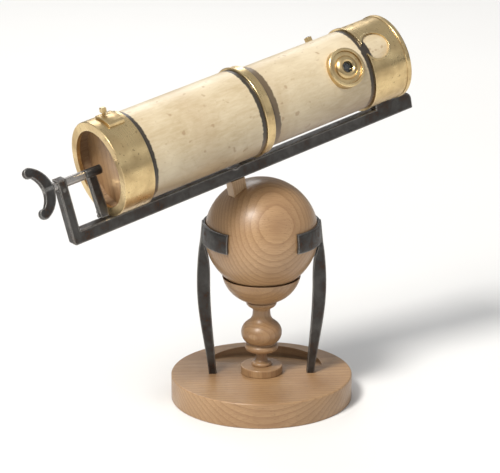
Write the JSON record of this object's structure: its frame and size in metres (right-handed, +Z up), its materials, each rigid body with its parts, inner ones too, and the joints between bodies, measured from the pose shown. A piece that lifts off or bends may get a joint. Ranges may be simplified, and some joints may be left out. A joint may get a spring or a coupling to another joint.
{
  "type": "reflecting telescope",
  "caption": "Small early reflecting telescope: a sliding two-part tube with side eyepiece and a focusing screw, on an iron bar nailed to a wooden ball-and-socket stand.",
  "frame": {"origin": "centre of the base's underside, on the table", "axes": "+Z up; the tube heads towards +X and rises 11 degrees at rest; the eyepiece is on the -Y side"},
  "size_m": [0.2831, 0.116, 0.2387],
  "materials": {
    "turned_wood": "waxed turned wood",
    "forged_iron": "forged and filed iron",
    "old_brass": "aged satin brass",
    "vellum": "pasteboard tube covered with vellum",
    "leather": "oiled leather",
    "felt": "felt",
    "speculum_metal": "polished bell metal",
    "lens_glass": "polished glass"
  },
  "bodies": {
    "stand": {"base": "turned_wood", "foot_flange": "turned_wood", "pillar": "turned_wood", "tenon_wedge": "turned_wood", "left_spring_leg": "forged_iron", "right_spring_leg": "forged_iron"},
    "socket_liner": {"socket_leather": "leather"},
    "ball": {"ball": "turned_wood", "ball_nail": "forged_iron", "nail_block": "turned_wood"},
    "telescope": {"crooked_iron": "forged_iron", "stay_pin": "forged_iron", "sleeve_screws": "forged_iron", "fore_tube": "vellum", "front_sleeve": "old_brass", "front_rim": "old_brass", "eyepiece_flange": "old_brass", "eyepiece_nut": "old_brass", "eye_cell": "old_brass", "eye_lens": "lens_glass", "lens_ring": "old_brass", "flat_mirror": "speculum_metal", "mirror_ring": "old_brass", "mirror_wire": "forged_iron", "wire_nut": "old_brass"},
    "hind_tube": {"hind_tube": "vellum", "mid_band": "old_brass", "rear_ring": "old_brass", "ring_plate": "old_brass", "ring_pin": "old_brass", "back_board": "turned_wood", "speculum_felt": "felt", "speculum": "speculum_metal", "speculum_stop": "old_brass", "focus_hook": "forged_iron", "hook_screws": "forged_iron"},
    "focus_screw": {"focus_screw": "forged_iron", "wing_handle": "forged_iron"}
  },
  "joints": [
    {"name": "ball_azimuth", "type": "hinge", "parent": "stand", "child": "socket_liner", "pos_m": [0, 0, 0.1095], "axis": [0, 0, 1], "continuous": true},
    {"name": "ball_tilt", "type": "hinge", "parent": "socket_liner", "child": "ball", "pos_m": [0, 0, 0.1095], "axis": [0, -1, 0], "range_deg": [-35, 35]},
    {"name": "nail_swivel", "type": "hinge", "parent": "ball", "child": "telescope", "pos_m": [-0.01989, 0, 0.14893], "axis": [-0.1908, 0, 0.9816], "continuous": true},
    {"name": "focus_turn", "type": "hinge", "parent": "telescope", "child": "focus_screw", "pos_m": [-0.11823, 0, 0.17005], "axis": [0.9816, 0, 0.1908], "range_deg": [-720.5, 72.5]},
    {"name": "focus_slide", "type": "slide", "parent": "telescope", "child": "hind_tube", "axis": [0.9816, 0, 0.1908], "range_m": [-0.0005, 0.005]}
  ],
  "couplings": [
    {"joint": "focus_turn", "follows": "focus_slide", "rad_per_m": -2513.3}
  ]
}
